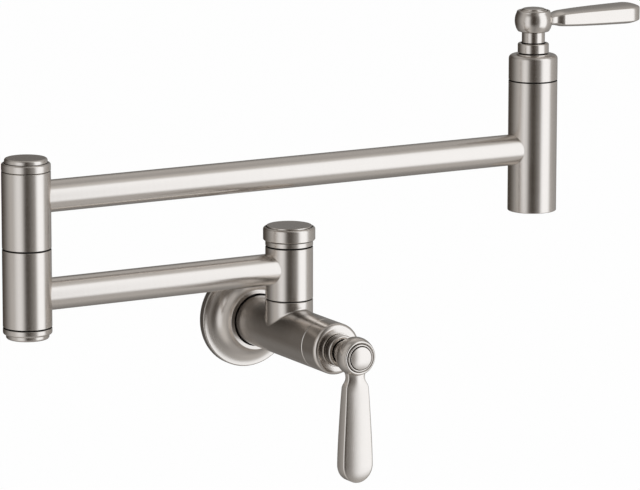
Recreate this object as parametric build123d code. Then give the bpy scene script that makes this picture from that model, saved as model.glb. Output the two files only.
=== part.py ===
from build123d import *
from math import cos, radians, sin, sqrt
import os

# Wall mounted pot filler: a flanged valve body on the wall, a folding arm of two tubes that
# swivels at the riser and at the elbow, and a spout column at the end of the upper tube.
# A quarter-turn ceramic disc valve with a lever shuts the water off at each end.
# Millimetres. Origin at the inlet's mouth on the finished wall, -Y out of the wall, +X to the
# right as seen from the room, +Z up. Both arms are folded parallel to the wall.

# ---------------------------------------------------------------- driving dimensions

# Places of the axes
RISER_OUT = 59.4            # wall to riser axis
BODY_LENGTH = 105.3         # wall to the seam of the inlet's bonnet
LOWER_ARM = 187.4           # riser axis to elbow axis
UPPER_ARM = 371.4           # elbow axis to outlet axis
LOWER_ARM_Z = 42.25
UPPER_ARM_Z = 104.5

# Turned columns and tubes
BODY_R = 16.6
STUB_R = 15.4               # riser stub and shoulder sleeve
STUB_FILLET = 1.2
ELBOW_R = 15.5
OUTLET_R = 16.1
TUBE_R = 10.2
TUBE_WALL = 1.5
TUBE_SEAT = 11.0            # column axis to tube end

# Heights of the middle of each swivel's gap, of the elbow's top seam and of the outlet's ends
SHOULDER_LOW_Z = 22.03
SHOULDER_HIGH_Z = 56.6
ELBOW_LOW_Z = 22.9
ELBOW_MIDDLE_Z = 72.73
ELBOW_HIGH_Z = 121.73
OUTLET_SEAM_Z = 150.28
OUTLET_BOTTOM_Z = 62.96
SEAM_GAP = 0.7              # running seams of the swivels
FIXED_GAP = 0.4             # shadow lines where two pieces are clamped together
EDGE_BREAK = 0.3

# Fits
RUNNING = 0.08              # radial, shaft in bore
STATIC = 0.05               # radial, screwed or brazed
FILM = 0.05                 # axial, between faces that slide on each other

# Wall flange
FLANGE_R = 33.5
FLANGE_RIM = 4.9
FLANGE_LAND = 1.4           # flat rim outside the cove
FLANGE_COVE = 12.0          # radius of the cove that sweeps from the rim up to the lip
FLANGE_NECK_R = FLANGE_R - FLANGE_LAND - FLANGE_COVE
FLANGE_OUT = 17.9
FLANGE_WALL = 2.3
FLANGE_ROOF = 5.4           # wall to the hollow's roof at the bore
FLANGE_FALL = 1.4           # fall of the hollow's roof towards the rim
FLANGE_ROUND = 0.9
FLANGE_LIP_ROUND = 0.5
FLANGE_CLEARANCE = 0.6      # radial, lip to valve body
GASKET_THICKNESS = 2.4
GASKET_WIDTH = 5.2
GRIP_RING_SECTION = 2.0     # ring that grips the valve body
GRIP_GROOVE = 2.4
GRIP_OUT = 12.0             # wall to the middle of that ring

# Inlet for a 1/2 inch threaded supply nipple
INLET_BORE_R = 9.3
INLET_DEPTH = 16.0

# Water ways
GALLERY_R = 5.0
GALLERY_DROP = 5.5          # supply gallery below the body axis, under the riser socket
RISER_SOCKET_Z = 4.0
CHAMBER_PORT = 8.0          # depth of the central port in the valve chamber's floor
RETURN_R = 2.2              # drilled ways in the valve chamber's floor
RETURN_PITCH_R = 10.6
RETURN_SPREAD = 40          # degrees between neighbouring ways
TUBE_WAY_R = 6.5            # from a tube's seat to the water in its column

# Swivel spindles
SPINDLE_R = 7.5
SPINDLE_BORE_R = 4.6
SPINDLE_BASE_R = 9.0        # screwed into its column
SPINDLE_BASE = 10.2
SPINDLE_TIP_R = 7.0         # takes the cap
RISER_TIP = 9.6
ELBOW_TIP = 5.4
PORT_R = 3.4
PORT_COUNT = 4
WATER_GROOVE_R = 9.8
WATER_GROOVE = 9.4
SEAL_SECTION = 1.5
SEAL_GROOVE = 2.0
SEAL_OFFSET = 9.6           # port to each seal
GLIDE_R = 13.6
GLIDE_THICKNESS = 1.2

# Caps
RISER_CAP_R = 16.84
RISER_CAP_STEP_Z = 60.5
RISER_CAP_TOP_Z = 69.94
RISER_CAP_SHOULDER_Z = 69.1
RISER_CAP_ROUND = 1.7
RISER_DISC_R = 14.7         # raised disc on the cap, inside a fine groove
RISER_DISC_ROUND = 0.4
DISC_GROOVE = 0.55
CAP_DISC_R = 13.6
CAP_ROUND = 1.4
ELBOW_TOP_STEP_Z = 127.1
ELBOW_TOP_Z = 130.05
ELBOW_BOTTOM_STEP_Z = 18.55
ELBOW_BOTTOM_Z = 15.55
CAP_PLUG_R = 10.5
CAP_PLUG = 8.0

# Valve head, measured outwards from its seam
CHAMBER_R = 12.0
CHAMBER_DEPTH = 28.0
SEAM_DEPTH = 1.0
BONNET = 17.3
BONNET_BOSS_R = 11.0        # low boss round the collar's foot
BONNET_BOSS = 0.55
BONNET_BOSS_ROUND = 0.3
BONNET_ROUND = 2.8
BONNET_WALL = 2.4
COLLAR_R = 10.25
COLLAR_TOP = 24.3
COLLAR_SPIGOT_R = 8.9
COLLAR_SPIGOT = 3.4
COLLAR_REVEAL = 0.7
COLLAR_ROUND = 1.0
HANDLE_NECK_R = 7.6
NECK_GAP = 0.5
NECK_GROOVE = 0.55          # shadow grooves at both ends of the neck
BALL_OUT = 39.1
BALL_R = 12.4
BALL_BACK = 7.1             # ball centre to its flat back
BALL_BACK_ROUND = 1.0
BEAD_R = 10.1               # bead round the ball's front
BEAD_SECTION = 1.9
BEAD_OUT = 5.75             # ball centre to the bead's centre line
RING_R = 8.25               # finer ring inside the bead
RING_SECTION = 1.2
RING_OUT = 6.75
BUTTON_R = 7.3
BUTTON_GAP = 0.35
BUTTON_RIM = 1.0            # snap rim under the button
BUTTON_EDGE = 7.9           # ball centre to the button's edge
BUTTON_CROWN = 8.8          # ball centre to the button's crown
BUTTON_SEAT = 3.6

# Ceramic disc cartridge
DISC_R = 8.0
DISC_THICKNESS = 3.0
DISC_PLAY = 0.1
PORT_ANGLE = 76             # sweep of each of a disc's two ports
PORT_OUTER_R = 6.4
PORT_INNER_R = 2.0
SEAT_SEAL = 2.0
SEAT_SEAL_WALL = 2.2
BARREL_R = 10.0
BARREL_LIFT = 0.8           # chamber's floor to the cage's foot
BARREL_TOP = -6.0
CAVITY_TOP = -12.5
WINDOW_STARTS = (30, 150, 270)
WINDOW_SWEEP = 60
WINDOW_SILL = 0.8           # stop's foot to a window's head
STOP_HEIGHT = 3.4
STOP_ANGLE = 84             # sweep of the stem's lug
STOP_MARGIN = 2             # degrees left beyond the quarter turn, each way
STOP_R = 6.3
CARTRIDGE_NECK_R = 7.55
CARTRIDGE_TOP = 19.4
BARREL_RING_SECTION = 2.9
GLAND_NUT_R = 13.4
GLAND_NUT_FLANGE = 2.5
GLAND_NUT_TOP = 8.5
GLAND_NUT_ACROSS_FLATS = 22.0
STEM_R = 4.0
STEM_TIP_R = 3.5
STEM_FLATS = 5.2            # across the tip's two flats
STEM_TOP = 33.1
STEM_RING_SECTION = 1.1
STEM_GROOVE = 1.6
STEM_RING_HEIGHTS = (3.0, 8.0)
DRIVER_WIDTH = 3.0
DRIVER_LENGTH = 11.0
DRIVER_DEPTH = 1.2
SCREW_R = 1.6
SCREW_LENGTH = 9.5
SCREW_HEAD_R = 3.6
SCREW_HEAD = 2.4
WEB = 2.1                   # hub's wall under the screw's head

# Lever: cross-sections as (distance from the ball's centre, width, height of the flat sides,
# rise of the crown on each face)
LEVER_NECK = (
    (8.5, 13.8, 4.9, 2.0), (11.5, 12.6, 4.5, 1.9), (14.3, 12.2, 4.4, 1.9),
    (17.6, 14.7, 5.6, 1.9), (20.5, 16.4, 6.7, 1.95),
)
LEVER_BLADE = (
    LEVER_NECK[-1], (34.0, 18.2, 7.6, 2.3), (45.0, 19.5, 8.0, 2.5), (57.0, 20.8, 8.3, 2.65),
    (70.0, 21.5, 8.6, 2.75),
)
LEVER_CORNER = 1.2
LEVER_LENGTH = 81.3
SPIGOT_R = 3.0
SPIGOT_FROM = 5.6

# Aerator
MOUTH_R = 11.2
MOUTH_DEPTH = 12.0
MOUTH_LEDGE = 1.0
OUTLET_CHAMBER_Z = 84.0
AERATOR_RECESS = 1.2
AERATOR_LENGTH = 9.0
AERATOR_LIP = 1.0
AERATOR_WALL = 1.9
INSERT_THICKNESS = 4.8
CELL_PITCH = 3.2
CELL_WALL = 0.5
CELL_RINGS = 2
KEY_SLOT = 2.2
KEY_SLOTS = 4

# ---------------------------------------------------------------- frames

RISER = Pos(0, -RISER_OUT, 0)
ELBOW = Pos(-LOWER_ARM, -RISER_OUT, 0)
OUTLET = Pos(UPPER_ARM - LOWER_ARM, -RISER_OUT, 0)
# Local +Z points out of the wall, local +Y points up.
OUT_OF_WALL = Plane(origin=(0, 0, 0), x_dir=(1, 0, 0), z_dir=(0, -1, 0)).location
# Each valve head: local +Z points outwards along its axis, local +X along its lever.
INLET_HEAD = Plane(origin=(0, -BODY_LENGTH, 0), x_dir=(0, 0, -1), z_dir=(0, -1, 0)).location
OUTLET_HEAD = OUTLET * Pos(0, 0, OUTLET_SEAM_Z)

# ---------------------------------------------------------------- shapes used throughout

BASE = (Align.CENTER, Align.CENTER, Align.MIN)


def post(radius, start, end):
    """Cylinder about Z between two heights, given in either order."""
    return Pos(0, 0, min(start, end)) * Cylinder(radius, abs(end - start), align=BASE)


def ring(outer, inner, start, end):
    """Tube about Z between two heights."""
    return post(outer, start, end) - post(inner, start, end)


def circles(solid, radius, height):
    """Circular edges about Z of one radius at one height."""
    found = [edge for edge in solid.edges() if edge.geom_type == GeomType.CIRCLE]
    found = [edge for edge in found if abs(edge.radius - radius) < 0.01]
    return [edge for edge in found if abs(edge.arc_center.Z - height) < 0.01]


def turned(*lines):
    """Solid of revolution about Z of a closed outline drawn in radius and height."""
    return revolve(Plane.XZ * make_face(Curve() + list(lines)), Axis.Z)


def seal(inner, section, height):
    """O-ring about Z, seated on an inner radius."""
    return revolve(Plane.XZ * Pos(inner + section / 2, height) * Circle(section / 2), Axis.Z)


def sector(radius, low, high, start, sweep):
    """Wedge of a cylinder about Z, between two heights, from a start angle in degrees."""
    corners = [(0, 0)]
    steps = 6
    for step in range(steps + 1):
        angle = radians(start + sweep * step / steps)
        corners.append((3 * radius * cos(angle), 3 * radius * sin(angle)))
    fan = make_face(Polyline(*corners, close=True))
    return post(radius, low, high) & extrude(Pos(0, 0, low) * fan, high - low)


def sideways(turn, height):
    """Frame whose +Z points horizontally, turned about the column's axis from +X."""
    return Pos(0, 0, height) * Rot(0, 0, turn) * Rot(0, 90, 0)


# ---------------------------------------------------------------- swivels


def tube_seat(radius, height, turn, way_from):
    """What is cut from a column for a tube: the socket and the water way behind it."""
    aim = sideways(turn, height)
    socket = aim * post(TUBE_R + STATIC, TUBE_SEAT, radius * 2)
    return socket + aim * post(TUBE_WAY_R, way_from, TUBE_SEAT)


def swivel_sleeve(radius, low, high, turn):
    """Column that turns on a spindle: bore, water groove, glide seats and a tube's seat."""
    sleeve = ring(radius, SPINDLE_R + RUNNING, low, high)
    sleeve = chamfer(circles(sleeve, radius, low) + circles(sleeve, radius, high), EDGE_BREAK)
    seat = GLIDE_THICKNESS - SEAM_GAP + FILM
    sleeve -= post(GLIDE_R + STATIC, low, low + seat)
    sleeve -= post(GLIDE_R + STATIC, high - seat, high)
    half_groove = WATER_GROOVE / 2
    sleeve -= post(WATER_GROOVE_R, LOWER_ARM_Z - half_groove, LOWER_ARM_Z + half_groove)
    return sleeve - tube_seat(radius, LOWER_ARM_Z, turn, SPINDLE_R)


def seal_heights():
    return (LOWER_ARM_Z - SEAL_OFFSET, LOWER_ARM_Z + SEAL_OFFSET)


def spindle(base_seat, cap_seat, tip):
    """Hollow swivel post: screwed base, running length with ports and seal grooves, tip."""
    way = 1 if cap_seat > base_seat else -1
    base_end = base_seat - way * SPINDLE_BASE
    body = post(SPINDLE_BASE_R, base_end, base_seat)
    body += post(SPINDLE_R, base_seat, cap_seat)
    body += post(SPINDLE_TIP_R, cap_seat, cap_seat + way * tip)
    body -= post(SPINDLE_BORE_R, base_end, LOWER_ARM_Z + way * 2 * PORT_R)
    for index in range(PORT_COUNT):
        turn = (index + 0.5) * 360 / PORT_COUNT
        body -= sideways(turn, LOWER_ARM_Z) * post(PORT_R, 0, 2 * SPINDLE_R)
    for height in seal_heights():
        low, high = height - SEAL_GROOVE / 2, height + SEAL_GROOVE / 2
        body -= ring(2 * SPINDLE_R, SPINDLE_R - SEAL_SECTION, low, high)
    return body


def swivel_seals():
    """Two O-rings on a spindle, one each side of the ports."""
    rings = [seal(SPINDLE_R - SEAL_SECTION, SEAL_SECTION + FILM, z) for z in seal_heights()]
    return Compound(children=rings)


def glide_washers(low, high):
    """Slippery washers on the faces below and above a sleeve."""
    bottom = ring(GLIDE_R, SPINDLE_R + STATIC, low, low + GLIDE_THICKNESS)
    top = ring(GLIDE_R, SPINDLE_R + STATIC, high - GLIDE_THICKNESS, high)
    return Compound(children=[bottom, top])


def arm_tube(length):
    """Tube along +X from one column's seat to the other's."""
    return Rot(0, 90, 0) * ring(TUBE_R, TUBE_R - TUBE_WALL, TUBE_SEAT, length - TUBE_SEAT)


# ---------------------------------------------------------------- wall end


def wall_flange():
    """Coved escutcheon, hollow behind, with a seat for the gasket and a groove for its ring."""
    back_r = FLANGE_R - FLANGE_WALL
    ledge_r = back_r - GASKET_WIDTH
    bore = BODY_R + FLANGE_CLEARANCE
    land, neck = (FLANGE_R - FLANGE_LAND, FLANGE_RIM), (FLANGE_NECK_R, FLANGE_RIM + FLANGE_COVE)
    flange = turned(
        Polyline((back_r, 0), (FLANGE_R, 0), (FLANGE_R, FLANGE_RIM), land),
        TangentArc(land, neck, tangent=(-1, 0)),
        Polyline(neck, (FLANGE_NECK_R, FLANGE_OUT), (bore, FLANGE_OUT), (bore, FLANGE_ROOF)),
        Polyline((bore, FLANGE_ROOF), (ledge_r, FLANGE_ROOF - FLANGE_FALL)),
        Polyline((ledge_r, FLANGE_ROOF - FLANGE_FALL), (ledge_r, GASKET_THICKNESS)),
        Polyline((ledge_r, GASKET_THICKNESS), (back_r, GASKET_THICKNESS), (back_r, 0)),
    )
    flange = fillet(circles(flange, FLANGE_R, FLANGE_RIM), FLANGE_ROUND)
    flange = fillet(circles(flange, FLANGE_NECK_R, FLANGE_OUT), FLANGE_LIP_ROUND)
    flange = chamfer(circles(flange, bore, FLANGE_OUT), EDGE_BREAK)
    low, high = GRIP_OUT - GRIP_GROOVE / 2, GRIP_OUT + GRIP_GROOVE / 2
    return OUT_OF_WALL * (flange - post(BODY_R + GRIP_RING_SECTION, low, high))


def flange_gasket():
    outer = FLANGE_R - FLANGE_WALL - STATIC
    return OUT_OF_WALL * ring(outer, outer - GASKET_WIDTH, 0, GASKET_THICKNESS)


def flange_ring():
    return OUT_OF_WALL * seal(BODY_R, GRIP_RING_SECTION, GRIP_OUT)


def seamed_barrel(radius, low, seam):
    """Cylinder whose upper end is cut back under the bonnet's seam."""
    shoulder = seam - FIXED_GAP
    barrel = post(radius, low, shoulder) + post(radius - SEAM_DEPTH, shoulder, seam)
    return chamfer(circles(barrel, radius, shoulder), EDGE_BREAK)


def valve_chamber(turn, return_length):
    """What is cut for a cartridge: the chamber, its central port and the ways out of its floor."""
    floor = -CHAMBER_DEPTH
    cut = post(CHAMBER_R, floor, 0) + post(GALLERY_R, floor - CHAMBER_PORT, floor)
    for step in (-1, 0, 1):
        way = Rot(0, 0, turn + step * RETURN_SPREAD) * Pos(RETURN_PITCH_R, 0, 0)
        cut += way * post(RETURN_R, floor - return_length, floor)
    return cut


def valve_body():
    """Horizontal barrel with the riser's stub, bored for inlet, cartridge and spindle."""
    body = OUT_OF_WALL * seamed_barrel(BODY_R, 0, BODY_LENGTH)
    stub_top = SHOULDER_LOW_Z - SEAM_GAP / 2
    stub = post(STUB_R, 0, stub_top)
    stub = chamfer(circles(stub, STUB_R, stub_top), EDGE_BREAK)
    barrel_edges = body.edges()
    body += RISER * stub
    plain = (GeomType.LINE, GeomType.CIRCLE)
    joint = [edge for edge in body.edges() - barrel_edges if edge.geom_type not in plain]
    body = fillet(joint, STUB_FILLET)
    body -= OUT_OF_WALL * post(INLET_BORE_R, 0, INLET_DEPTH)
    gallery_end = BODY_LENGTH - CHAMBER_DEPTH - GALLERY_R
    body -= OUT_OF_WALL * Pos(0, -GALLERY_DROP, 0) * post(GALLERY_R, INLET_DEPTH, gallery_end)
    body -= RISER * post(SPINDLE_BASE_R + STATIC, RISER_SOCKET_Z, stub_top)
    back_to_riser = BODY_LENGTH - CHAMBER_DEPTH - RISER_OUT
    body -= INLET_HEAD * valve_chamber(180, back_to_riser)
    return body


def riser_spindle():
    low, high = SHOULDER_LOW_Z - SEAM_GAP / 2, SHOULDER_HIGH_Z + SEAM_GAP / 2
    return RISER * spindle(low, high, RISER_TIP)


def riser_cap():
    """Stepped cap nut that holds the sleeve down on the riser, with a disc raised on its top."""
    low, shoulder = SHOULDER_HIGH_Z + SEAM_GAP / 2, RISER_CAP_SHOULDER_Z
    cap = post(STUB_R, low, RISER_CAP_STEP_Z) + post(RISER_CAP_R, RISER_CAP_STEP_Z, shoulder)
    cap = fillet(circles(cap, RISER_CAP_R, shoulder), RISER_CAP_ROUND)
    cap -= ring(RISER_DISC_R + DISC_GROOVE, RISER_DISC_R, shoulder - DISC_GROOVE, shoulder)
    cap += post(RISER_DISC_R, shoulder, RISER_CAP_TOP_Z)
    cap = fillet(circles(cap, RISER_DISC_R, RISER_CAP_TOP_Z), RISER_DISC_ROUND)
    cap = chamfer(circles(cap, RISER_CAP_R, RISER_CAP_STEP_Z), 2 * EDGE_BREAK)
    cap = chamfer(circles(cap, STUB_R, low), EDGE_BREAK)
    return RISER * (cap - post(SPINDLE_TIP_R + STATIC, low, low + RISER_TIP + FILM))


# ---------------------------------------------------------------- arm and elbow


def shoulder_sleeve():
    low, high = SHOULDER_LOW_Z + SEAM_GAP / 2, SHOULDER_HIGH_Z - SEAM_GAP / 2
    return RISER * swivel_sleeve(STUB_R, low, high, 180)


def elbow_lower_hub():
    low, high = ELBOW_LOW_Z + SEAM_GAP / 2, ELBOW_MIDDLE_Z - SEAM_GAP / 2
    return ELBOW * swivel_sleeve(ELBOW_R, low, high, 0)


def elbow_upper_hub():
    """Fixed column of the upper arm: the spindle's socket below, the cap's socket above."""
    low = ELBOW_MIDDLE_Z + SEAM_GAP / 2
    hub = post(ELBOW_R, low, ELBOW_HIGH_Z)
    hub = chamfer(circles(hub, ELBOW_R, low) + circles(hub, ELBOW_R, ELBOW_HIGH_Z), EDGE_BREAK)
    hub -= post(SPINDLE_BASE_R + STATIC, low, low + SPINDLE_BASE + FILM)
    hub -= post(TUBE_WAY_R, low, ELBOW_HIGH_Z - CAP_PLUG)
    hub -= post(CAP_PLUG_R, ELBOW_HIGH_Z - CAP_PLUG - FILM, ELBOW_HIGH_Z)
    return ELBOW * (hub - tube_seat(ELBOW_R, UPPER_ARM_Z, 0, 0))


def elbow_spindle():
    high, low = ELBOW_MIDDLE_Z + SEAM_GAP / 2, ELBOW_LOW_Z - SEAM_GAP / 2
    return ELBOW * spindle(high, low, ELBOW_TIP)


def stepped_cap(seat, step, end):
    """Column-wide cap that steps in to a smaller disc, rounded at both edges."""
    cap = post(ELBOW_R, seat, step) + post(CAP_DISC_R, step, end)
    cap = fillet(circles(cap, ELBOW_R, step) + circles(cap, CAP_DISC_R, end), CAP_ROUND)
    return chamfer(circles(cap, ELBOW_R, seat), EDGE_BREAK)


def elbow_top_cap():
    seat = ELBOW_HIGH_Z + FIXED_GAP
    cap = stepped_cap(seat, ELBOW_TOP_STEP_Z, ELBOW_TOP_Z)
    cap += post(ELBOW_R - SEAM_DEPTH, ELBOW_HIGH_Z, seat)
    plug_end = ELBOW_HIGH_Z - CAP_PLUG
    plug = post(CAP_PLUG_R - STATIC, plug_end, ELBOW_HIGH_Z)
    low, high = top_seal_height() - SEAL_GROOVE / 2, top_seal_height() + SEAL_GROOVE / 2
    return ELBOW * (cap + plug - ring(2 * CAP_PLUG_R, CAP_PLUG_R - SEAL_SECTION, low, high))


def top_seal_height():
    return ELBOW_HIGH_Z - CAP_PLUG + SEAL_GROOVE


def elbow_top_seal():
    return ELBOW * seal(CAP_PLUG_R - SEAL_SECTION, SEAL_SECTION, top_seal_height())


def elbow_bottom_cap():
    seat = ELBOW_LOW_Z - SEAM_GAP / 2
    cap = stepped_cap(seat, ELBOW_BOTTOM_STEP_Z, ELBOW_BOTTOM_Z)
    return ELBOW * (cap - post(SPINDLE_TIP_R + STATIC, seat, seat - ELBOW_TIP - FILM))


def outlet_column():
    """Spout: tube's seat, valve chamber above it and the aerator's mouth below."""
    column = seamed_barrel(OUTLET_R, OUTLET_BOTTOM_Z, OUTLET_SEAM_Z)
    column = fillet(circles(column, OUTLET_R, OUTLET_BOTTOM_Z), 2 * EDGE_BREAK)
    floor = OUTLET_SEAM_Z - CHAMBER_DEPTH
    column -= tube_seat(OUTLET_R, UPPER_ARM_Z, 180, 0)
    column -= post(GALLERY_R, UPPER_ARM_Z, floor)
    column -= Pos(0, 0, OUTLET_SEAM_Z) * valve_chamber(0, floor - OUTLET_CHAMBER_Z + MOUTH_LEDGE)
    mouth_top = OUTLET_BOTTOM_Z + MOUTH_DEPTH
    column -= post(MOUTH_R, OUTLET_BOTTOM_Z, mouth_top)
    return OUTLET * (column - post(MOUTH_R - MOUTH_LEDGE, mouth_top, OUTLET_CHAMBER_Z))


# ---------------------------------------------------------------- aerator


def aerator_housing():
    """Screwed ring with an inner lip and slots for a key."""
    low = OUTLET_BOTTOM_Z + AERATOR_RECESS
    inner = MOUTH_R - AERATOR_WALL
    housing = ring(MOUTH_R - STATIC, inner, low, low + AERATOR_LENGTH)
    housing += ring(MOUTH_R - STATIC, inner - AERATOR_LIP, low, low + AERATOR_LIP)
    for index in range(KEY_SLOTS):
        turn = Rot(0, 0, index * 360 / KEY_SLOTS)
        slot = Box(AERATOR_WALL, KEY_SLOT, AERATOR_LIP)
        housing -= turn * Pos(inner, 0, low + AERATOR_LIP / 2) * slot
    return OUTLET * housing


def aerator_insert():
    """Honeycomb disc that straightens the stream."""
    low = OUTLET_BOTTOM_Z + AERATOR_RECESS + AERATOR_LIP
    insert = post(MOUTH_R - AERATOR_WALL - STATIC, low, low + INSERT_THICKNESS)
    cell = RegularPolygon((CELL_PITCH - CELL_WALL) / sqrt(3), 6, rotation=30)
    cells = []
    for q in range(-CELL_RINGS, CELL_RINGS + 1):
        for r in range(max(-CELL_RINGS, -q - CELL_RINGS), min(CELL_RINGS, CELL_RINGS - q) + 1):
            cells.append(Pos(CELL_PITCH * (q + r / 2), CELL_PITCH * r * sqrt(3) / 2, low) * cell)
    return OUTLET * (insert - extrude(Sketch() + cells, INSERT_THICKNESS))


def aerator_washer():
    low = OUTLET_BOTTOM_Z + AERATOR_RECESS + AERATOR_LENGTH
    high = OUTLET_BOTTOM_Z + MOUTH_DEPTH
    return OUTLET * ring(MOUTH_R - STATIC, MOUTH_R - AERATOR_WALL, low, high)


# ---------------------------------------------------------------- valve head, in its own frame

DISC_TOP = SEAT_SEAL + 2 * DISC_THICKNESS - CHAMBER_DEPTH
STOP_LOW = CAVITY_TOP - STOP_HEIGHT


def seat_seal():
    outer = DISC_R - DISC_PLAY
    return ring(outer, outer - SEAT_SEAL_WALL, -CHAMBER_DEPTH, SEAT_SEAL - CHAMBER_DEPTH)


def ceramic_disc(low, turn):
    """Lapped disc with two ports that face each other."""
    disc = post(DISC_R, low, low + DISC_THICKNESS)
    for side in (0, 180):
        start = turn + side - PORT_ANGLE / 2
        port = sector(PORT_OUTER_R, low, low + DISC_THICKNESS, start, PORT_ANGLE)
        disc -= port - post(PORT_INNER_R, low, low + DISC_THICKNESS)
    return disc


def fixed_disc():
    return ceramic_disc(SEAT_SEAL - CHAMBER_DEPTH, 90)


def moving_disc():
    """Upper disc, shut at rest, with the driver's slot across it."""
    disc = ceramic_disc(DISC_TOP - DISC_THICKNESS, 0)
    disc -= post(DISC_R, DISC_TOP - DISC_THICKNESS, DISC_TOP - DISC_THICKNESS + FILM)
    slot = Box(DRIVER_WIDTH + 2 * FILM, DRIVER_LENGTH + 4 * FILM, DRIVER_DEPTH + FILM,
               align=(Align.CENTER, Align.CENTER, Align.MAX))
    return disc - Pos(0, 0, DISC_TOP) * slot


def cartridge_housing():
    """Brass cage of the discs: open bottom, side windows, inner stop and threaded neck."""
    low = BARREL_LIFT - CHAMBER_DEPTH
    cavity_r = DISC_R + DISC_PLAY
    housing = post(BARREL_R, low, BARREL_TOP) + post(CARTRIDGE_NECK_R, BARREL_TOP, CARTRIDGE_TOP)
    housing -= post(cavity_r, low, CAVITY_TOP) + post(STEM_R + RUNNING, CAVITY_TOP, CARTRIDGE_TOP)
    middle = (BARREL_TOP + CAVITY_TOP) / 2
    half_groove = BARREL_RING_SECTION / 2
    groove_r = CHAMBER_R - BARREL_RING_SECTION
    housing -= ring(CHAMBER_R, groove_r, middle - half_groove, middle + half_groove)
    for start in WINDOW_STARTS:
        housing -= sector(CHAMBER_R, DISC_TOP, STOP_LOW - WINDOW_SILL, start, WINDOW_SWEEP)
    swept = STOP_ANGLE + 90 + 2 * STOP_MARGIN
    start = STOP_ANGLE / 2 + STOP_MARGIN
    stop = sector(cavity_r, STOP_LOW, CAVITY_TOP, start, 360 - swept)
    return housing + (stop - post(STOP_R, STOP_LOW, CAVITY_TOP))


def barrel_ring():
    middle = (BARREL_TOP + CAVITY_TOP) / 2
    return seal(CHAMBER_R - BARREL_RING_SECTION, BARREL_RING_SECTION, middle)


def gland_nut():
    """Hexagon nut that holds the cartridge down in its chamber."""
    nut = post(CHAMBER_R - STATIC, BARREL_TOP, 0) + post(GLAND_NUT_R, 0, GLAND_NUT_FLANGE)
    hexagon = RegularPolygon(GLAND_NUT_ACROSS_FLATS / 2, 6, major_radius=False)
    nut += extrude(Pos(0, 0, GLAND_NUT_FLANGE) * hexagon, GLAND_NUT_TOP - GLAND_NUT_FLANGE)
    return nut - post(CARTRIDGE_NECK_R + STATIC, BARREL_TOP, GLAND_NUT_TOP)


def bonnet(radius):
    """Round-shouldered cover over the cartridge, with a low boss for the collar."""
    face = BONNET - BONNET_BOSS
    cover = fillet(circles(post(radius, 0, face), radius, face), BONNET_ROUND)
    cover = chamfer(circles(cover, radius, 0), EDGE_BREAK) + post(BONNET_BOSS_R, face, BONNET)
    cover = fillet(circles(cover, BONNET_BOSS_R, BONNET), BONNET_BOSS_ROUND)
    cover -= post(radius - BONNET_WALL, 0, BONNET - BONNET_WALL)
    return cover - post(COLLAR_SPIGOT_R + STATIC, 0, BONNET)


def collar_nut():
    """Nut on the cartridge's neck that clamps the bonnet and rings the handle's neck."""
    shoulder = BONNET + COLLAR_REVEAL
    nut = post(COLLAR_R, shoulder, COLLAR_TOP)
    nut = fillet(circles(nut, COLLAR_R, COLLAR_TOP), COLLAR_ROUND)
    nut = chamfer(circles(nut, COLLAR_R, shoulder), EDGE_BREAK)
    nut += post(COLLAR_R - SEAM_DEPTH, BONNET, shoulder)
    nut += post(COLLAR_SPIGOT_R, BONNET - COLLAR_SPIGOT, BONNET)
    nut -= post(CARTRIDGE_NECK_R + STATIC, BONNET - COLLAR_SPIGOT, COLLAR_TOP)
    return nut - post(HANDLE_NECK_R + NECK_GAP, CARTRIDGE_TOP, COLLAR_TOP)


def stem():
    """Valve stem: driver for the moving disc, stop lug, seal grooves and flatted tip."""
    shaft = post(STEM_R, STOP_LOW, CARTRIDGE_TOP + FILM)
    tip_run = STEM_TOP - CARTRIDGE_TOP
    flats = Box(2 * STEM_R, STEM_FLATS, tip_run, align=BASE)
    shaft += post(STEM_TIP_R, CARTRIDGE_TOP, STEM_TOP) & Pos(0, 0, CARTRIDGE_TOP) * flats
    lug_low, lug_high = STOP_LOW + FILM, CAVITY_TOP - FILM
    shaft += post(STOP_R - 2 * FILM, lug_low, lug_high)
    shaft += sector(DISC_R - 2 * FILM, lug_low, lug_high, -STOP_ANGLE / 2, STOP_ANGLE)
    bar = Box(DRIVER_WIDTH, DRIVER_LENGTH, STOP_LOW + FILM - DISC_TOP + DRIVER_DEPTH, align=BASE)
    shaft += Pos(0, 0, DISC_TOP - DRIVER_DEPTH) * bar
    for height in STEM_RING_HEIGHTS:
        low, high = height - STEM_GROOVE / 2, height + STEM_GROOVE / 2
        shaft -= ring(2 * STEM_R, STEM_R - STEM_RING_SECTION, low, high)
    return shaft - post(SCREW_R + STATIC, STEM_TOP - SCREW_LENGTH, STEM_TOP)


def stem_rings():
    inner = STEM_R - STEM_RING_SECTION
    return Compound(children=[seal(inner, STEM_RING_SECTION + FILM, z) for z in STEM_RING_HEIGHTS])


def bead(radius, section, height):
    """Ring of round section about Z, given by its centre line."""
    return seal(radius - section / 2, section, height)


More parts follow.
